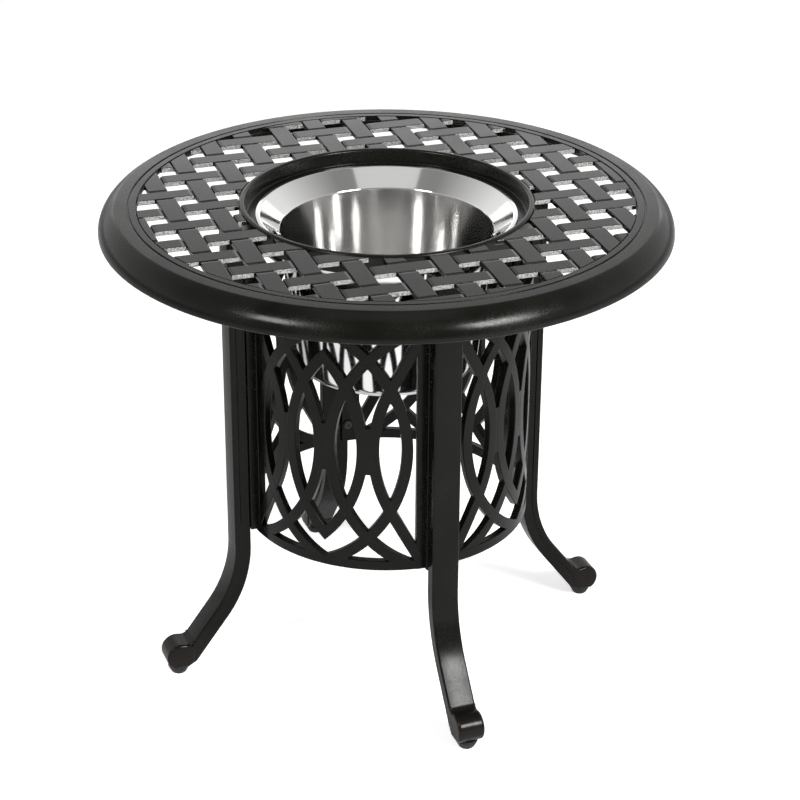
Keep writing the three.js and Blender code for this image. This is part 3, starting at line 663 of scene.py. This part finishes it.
def straight_bar(half, reach, proud, steps, upright, place):
    """Straight bar whose section is carried from -reach to reach, up the panel where upright is
    true and else along it; place is its distance from the panel's middle."""
    across, depth = strip_section(half, proud).T
    run = np.linspace(-reach, reach, steps)[:, None]
    across, run, depth = np.broadcast_arrays(place + across, run, depth)
    return bent(across, run, depth) if upright else bent(run, across, depth)


# An arc ends in the middle of the rails. The outermost arcs lean over until they would touch
# the next ones, at the angle tip, and run on straight to the same level.
end = np.arcsin(RAIL_MIDDLE / ARC_RADIUS)
tip = np.arccos(1 - (ARC_PITCH - 2 * ARC_HALF) / (2 * ARC_RADIUS))
tip_end = tip + (RAIL_MIDDLE - ARC_RADIUS * np.sin(tip)) / np.cos(tip) / ARC_RADIUS
parts = []
for side, proud in ((-1, 0.0), (1, 0.04)):
    parts += [
        lattice_arc(side * ARC_PITCH, side, tip_end, proud, lean=tip),
        lattice_arc(0, side, end, proud),
        lattice_arc(-side * ARC_PITCH, side, end, proud, meets=True),
        lattice_arc(-side * 2 * ARC_PITCH, side, end, proud),
        straight_bar(RAIL_HALF, HALF_RUN, 0.08, 49, False, side * RAIL_MIDDLE),
        straight_bar(UPRIGHT_HALF, HALF_HEIGHT, 0.12, 9, True, side * (HALF_RUN - UPRIGHT_HALF)),
    ]
parts += [straight_bar(WEB_HALF, WEB_REACH, -0.05, 9, True, place)
          for place in (-ARC_PITCH, 0, ARC_PITCH)]
panel = [skin(part, caps=True) for part in parts]
for side in (-1, 1):
    low, high = sorted([-side * PAD_NEAR, -side * PAD_FAR])
    pad = eased_block((PAD_INSIDE, low, PANEL_MIDDLE - PAD_HALF),
                      (PAD_OUTSIDE, high, PANEL_MIDDLE + PAD_HALF), 1.0)
    panel.append(skin(swung(pad, side * 45), caps=True))
for k, turn in enumerate(LEG_TURNS, 1):
    put_in(f"drum_lattice_{k}", [(swung(points, turn + 45), faces) for points, faces in panel],
           shaded_frame_coat, "table", [f"lattice_panel_{k}"])

# Bolts and screws
# Black coated steel. Two hexagon bolts for each leg go out through the lug of the ring into
# the leg, and four pan head screws with a hexagon socket hold the ends of the panels to it.
BOLT_SEAT = 146.7
BOLT_HEIGHTS = (("low", 470.8), ("high", 499.5))
SCREW_SEAT = 148.7
SCREW_HEIGHTS = (("low", 194.5), ("high", 434.5))
SCREW_SIDES = (("left", -7.8), ("right", 7.8))

# Edge wear: where the surface bends outwards, broken up by noise, the finish is rubbed.
edge_wear, given, result = group_of("edge_wear", ["Spots", "Amount"], ["Worn"])
bend = add_node(edge_wear, "ShaderNodeNewGeometry")
sharp = add_node(edge_wear, "ShaderNodeMapRange", From_Min=0.515, From_Max=0.62)
spots = add_node(edge_wear, "ShaderNodeTexNoise", Detail=3.0, Roughness=0.65)
patch = add_node(edge_wear, "ShaderNodeMapRange", From_Min=0.42, From_Max=0.66)
both = add_node(edge_wear, "ShaderNodeMath", [("operation", "MULTIPLY")])
scaled = add_node(edge_wear, "ShaderNodeMath", [("operation", "MULTIPLY")])
join(edge_wear,
     (bend.outputs["Pointiness"], sharp.inputs["Value"]),
     (given["Position"], spots.inputs["Vector"]),
     (given["Spots"], spots.inputs["Scale"]),
     (spots.outputs["Fac"], patch.inputs["Value"]),
     (sharp.outputs["Result"], both.inputs[0]),
     (patch.outputs["Result"], both.inputs[1]),
     (both.outputs[0], scaled.inputs[0]),
     (given["Amount"], scaled.inputs[1]),
     (scaled.outputs[0], result["Worn"]))

fastener_black, tree, shader, place = new_finish("black_fastener")
shader.inputs["Metallic"].default_value = 0.6
grain = grained(tree, place, 900.0, 2600.0)
wear = add_node(tree, "ShaderNodeGroup", [("node_tree", edge_wear)], Spots=900.0, Amount=0.8)
join(tree, (place, wear.inputs["Position"]))
coated = colour_mix(tree, grain["Shade"], (0.02, 0.02, 0.02), (0.036, 0.035, 0.034))
rubbed = colour_mix(tree, wear.outputs["Worn"], coated, (0.24, 0.235, 0.225))
join(tree, (rubbed, shader.inputs["Base Color"]),
     (span(tree, grain["Gloss"], 0.34, 0.5), shader.inputs["Roughness"]))
relief(tree, shader, grain["Height"], 0.4, 0.00004)


def fastener(rings, sides=48):
    """Turned piece along X in which some rings are hexagons: ring (x, radius, six) has at the
    angle a the radius times cos 30 / cos (a mod 60 - 30) where six is 1, a circle where 0."""
    x, radius, six = np.asarray(rings, float).T
    a = 2 * np.pi * np.arange(sides) / sides
    hexagon = np.cos(np.pi / 6) / np.cos(np.mod(a, np.pi / 3) - np.pi / 6)
    r = radius[:, None] * (1 + six[:, None] * (hexagon - 1))
    return np.stack([x[:, None] + 0 * r, r * np.cos(a), r * np.sin(a)], -1)


bolt = fastener([
    (-5.3, 0, 0), (-5.3, 6.0, 0), (-5.25, 6.4, 0), (-4.9, 7.3, 1), (-4.7, 7.45, 1),
    (-1.0, 7.45, 1), (-1.0, 7.0, 0), (-0.9, 7.3, 0), (-0.1, 7.3, 0), (0, 7.1, 0),
    (0, 4, 0), (29.7, 4, 0), (29.9, 0, 0)])
screw = fastener([
    (-1.4, 0, 0), (-1.4, 2.1, 1), (-3.1, 2.1, 1), (-3.3, 2.4, 0), (-3.15, 3.6, 0),
    (-2.5, 4.7, 0), (-1.6, 5.3, 0), (-0.7, 5.5, 0), (-0.1, 5.45, 0), (0, 5.2, 0),
    (0, 3, 0), (26.6, 3, 0), (26.7, 0, 0)])
for k, turn in enumerate(LEG_TURNS, 1):
    for level, height in BOLT_HEIGHTS:
        placed = skin(swung(bolt + (BOLT_SEAT, 0, height), turn), closed=False)
        put_in(f"hex_bolt_{k}_{level}", [placed], fastener_black, "table",
               [f"top_bolt_{k}_{level}"], merged=True)
    for level, height in SCREW_HEIGHTS:
        for hand, across in SCREW_SIDES:
            placed = skin(swung(screw + (SCREW_SEAT, across, height), turn), closed=False)
            put_in(f"pan_screw_{k}_{level}_{hand}", [placed], fastener_black, "table",
                   [f"panel_screw_{k}_{level}_{hand}"], merged=True)

# Glides
# A black nylon foot under each toe, moulded round the head of a zinc plated stud whose thread
# screws up into the toe to level the table.
glide_plastic, tree, shader, place = new_finish("black_nylon")
shader.inputs["Specular IOR Level"].default_value = 0.35
grain = grained(tree, place, 1400.0, 3200.0)
join(tree, (colour_mix(tree, grain["Shade"], (0.007, 0.007, 0.007), (0.013, 0.0125, 0.012)),
            shader.inputs["Base Color"]),
     (span(tree, grain["Gloss"], 0.5, 0.68), shader.inputs["Roughness"]))
relief(tree, shader, grain["Height"], 0.5, 0.00005)

zinc, tree, shader, place = new_finish("zinc_plate")
shader.inputs["Metallic"].default_value = 0.9
grain = grained(tree, place, 700.0, 2400.0)
join(tree, (colour_mix(tree, grain["Height"], (0.34, 0.345, 0.35), (0.52, 0.52, 0.51)),
            shader.inputs["Base Color"]),
     (span(tree, grain["Gloss"], 0.26, 0.44), shader.inputs["Roughness"]))

glide_profile = eased([(0, 0), (7.3, 0), (8.5, 1.2), (12.0, 8.0), (12.0, 10.5), (4.3, 10.5),
                       (4.3, 4.2), (0, 4.2)], [0.5, 1.2, 1.4, 1.2, 0.6, 0.4], 5)

# The thread: at the height z and the angle a the stud's radius is that of its core plus the
# thread's depth times a triangle wave of z / pitch - a / 360. Its ends are drawn in and closed.
STUD_LOW, STUD_HIGH = 4.5, 26.8
STUD_CORE = 3.55
STUD_END = 3.3
THREAD_DEPTH = 0.44
THREAD_PITCH = 1.25
a = 2 * np.pi * np.arange(40) / 40
z = np.concatenate([[STUD_LOW] * 2, np.linspace(STUD_LOW, STUD_HIGH, 180), [STUD_HIGH] * 2])[:, None]
crest = np.abs(np.mod(z / THREAD_PITCH - a / (2 * np.pi), 1) - 0.5) * 2
r = STUD_CORE + THREAD_DEPTH * crest
r[[1, -2]] = STUD_END
r[[0, -1]] = 0
stud = np.stack([r * np.cos(a), r * np.sin(a), z + 0 * a], -1)
for k, turn in enumerate(LEG_TURNS, 1):
    foot = skin(swung(turned(glide_profile, 64) + (TOE[0], 0, 0), turn), closed=False)
    put_in(f"nylon_glide_{k}", [foot], glide_plastic, f"foot_{k}",
           [f"glide_{k}"], merged=True)
    thread = skin(swung(stud + (TOE[0], 0, 0), turn), closed=False)
    put_in(f"glide_thread_{k}", [thread], zinc, f"foot_{k}",
           [f"glide_stud_{k}"], merged=True)

# Floor, lamps and camera
# A white floor that keeps the shadow, two soft lamps in front, a weaker one above and a low one
# behind, and a white room that darkens overhead and shows in the steel and the coat.
FLOOR_HALF = 14
floor_mesh = bpy.data.meshes.new("floor")
corners = [(-FLOOR_HALF, -FLOOR_HALF, 0), (FLOOR_HALF, -FLOOR_HALF, 0),
           (FLOOR_HALF, FLOOR_HALF, 0), (-FLOOR_HALF, FLOOR_HALF, 0)]
floor_mesh.from_pydata(corners, [], [(0, 1, 2, 3)])
floor = bpy.data.objects.new("floor", floor_mesh)
bpy.context.scene.collection.objects.link(floor)
floor_white, tree, shader, _ = new_finish("floor_white")
shader.inputs["Base Color"].default_value = (0.93, 0.93, 0.93, 1)
shader.inputs["Roughness"].default_value = 0.9
shader.inputs["Specular IOR Level"].default_value = 0.0
shader.inputs["Emission Color"].default_value = (1, 1, 1, 1)
seen = add_node(tree, "ShaderNodeLightPath")
join(tree, (span(tree, seen.outputs["Is Camera Ray"], 0, 0.55), shader.inputs["Emission Strength"]))
floor_mesh.materials.append(floor_white)

# The camera sees a room of strength 1. Other light comes from one of 0.3, and reflections show
# one that goes from 0.3 to 1 with the direction: its dot product with DARK_TO_PALE, plus 0.6
# times the size of the one with TO_THE_SIDE.
DARK_TO_PALE = (0.30, 0.77, -1.0)
TO_THE_SIDE = (0.935, -0.353, 0)
room = bpy.data.worlds.new("white_room")
bpy.context.scene.world = room
room.use_nodes = True
tree = room.node_tree
background = tree.nodes["Background"].inputs
background["Color"].default_value = (1, 1, 1, 1)
outward = add_node(tree, "ShaderNodeTexCoord").outputs["Generated"]
heading = add_node(tree, "ShaderNodeVectorMath", [("operation", "DOT_PRODUCT")])
heading.inputs[1].default_value = DARK_TO_PALE
sideways = add_node(tree, "ShaderNodeVectorMath", [("operation", "DOT_PRODUCT")])
sideways.inputs[1].default_value = TO_THE_SIDE
aside = add_node(tree, "ShaderNodeMath", [("operation", "ABSOLUTE")])
level = add_node(tree, "ShaderNodeMath", [("operation", "MULTIPLY_ADD")])
level.inputs[1].default_value = 0.6
seen = add_node(tree, "ShaderNodeLightPath")
shown = add_node(tree, "ShaderNodeMath", [("operation", "MAXIMUM")])
mirrored = add_node(tree, "ShaderNodeMix", [("data_type", "FLOAT")])
mirrored.inputs[2].default_value = 0.3
strength = add_node(tree, "ShaderNodeMix", [("data_type", "FLOAT")])
strength.inputs[3].default_value = 1.0
join(tree,
     (outward, heading.inputs[0]),
     (outward, sideways.inputs[0]),
     (sideways.outputs["Value"], aside.inputs[0]),
     (aside.outputs[0], level.inputs[0]),
     (heading.outputs["Value"], level.inputs[2]),
     (seen.outputs["Is Glossy Ray"], mirrored.inputs[0]),
     (span(tree, level.outputs[0], 0.3, 1.0, -0.62, 0.45), mirrored.inputs[3]),
     (seen.outputs["Is Camera Ray"], shown.inputs[0]),
     (seen.outputs["Is Transmission Ray"], shown.inputs[1]),
     (shown.outputs[0], strength.inputs[0]),
     (mirrored.outputs[0], strength.inputs[2]),
     (strength.outputs[0], background["Strength"]))


def stand_up(thing, right, up, back, place):
    """Puts a lamp or the camera into the scene, with its place and the directions of its right
    side, its upper side and its back as the columns of its matrix."""
    bpy.context.scene.collection.objects.link(thing)
    thing.matrix_world = Matrix([*np.column_stack([right, up, back, place]).tolist(), [0, 0, 0, 1]])


def soft_lamp(name, place, aim, size, brightness):
    """Rectangular soft lamp at a place, turned towards aim; its power is brightness times pi
    times its area."""
    lamp = bpy.data.lights.new(name, "AREA")
    lamp.shape = "RECTANGLE"
    lamp.size, lamp.size_y = size
    lamp.energy = brightness * np.pi * size[0] * size[1]
    back = np.subtract(place, aim)
    back = back / np.linalg.norm(back)
    right = np.cross((0, 0, 1), back)
    right /= np.linalg.norm(right)
    stand_up(bpy.data.objects.new(name, lamp), right, np.cross(back, right), back, place)


soft_lamp("above", (-0.18, -0.48, 3.1), (0, 0, 0.5), (1.6, 1.6), 0.5)
soft_lamp("front_right", (0.96, -2.26, 1.85), (0, 0, 0.35), (0.95, 0.85), 38.0)
soft_lamp("front_left", (-2.2, -1.07, 2.0), (0, 0, 0.35), (0.8, 0.75), 21.0)
soft_lamp("behind", (0.43, 1.12, 0.86), (0, 0, 0.53), (1.9, 0.24), 1.15)

# The camera stands where the photograph was taken, in front to the left at a height of
# 1.43 m, and looks down by 26.48 degrees. Its focal length is known in the photograph's pixels.
CAMERA_DISTANCE = 2.54377
AIM_ASIDE = 0.01543
AIM_HEIGHT = 0.29749
FOCAL_LENGTH = 2303.84
PHOTO_WIDTH = 800
azimuth, elevation, roll = np.radians((-21.08, 26.4817, 0.394))
away = np.array([np.sin(azimuth) * np.cos(elevation), -np.cos(azimuth) * np.cos(elevation),
                 np.sin(elevation)])
level = np.array([np.cos(azimuth), np.sin(azimuth), 0])
upright = np.cross(away, level)
aim = AIM_ASIDE * level + (0, 0, AIM_HEIGHT)
camera = bpy.data.objects.new("camera", bpy.data.cameras.new("camera"))
camera.data.sensor_width = 36
camera.data.lens = camera.data.sensor_width * FOCAL_LENGTH / PHOTO_WIDTH
stand_up(camera, np.cos(roll) * level + np.sin(roll) * upright,
         np.cos(roll) * upright - np.sin(roll) * level, away, aim + CAMERA_DISTANCE * away)
bpy.context.scene.camera = camera
bpy.context.scene.view_settings.view_transform = "Standard"
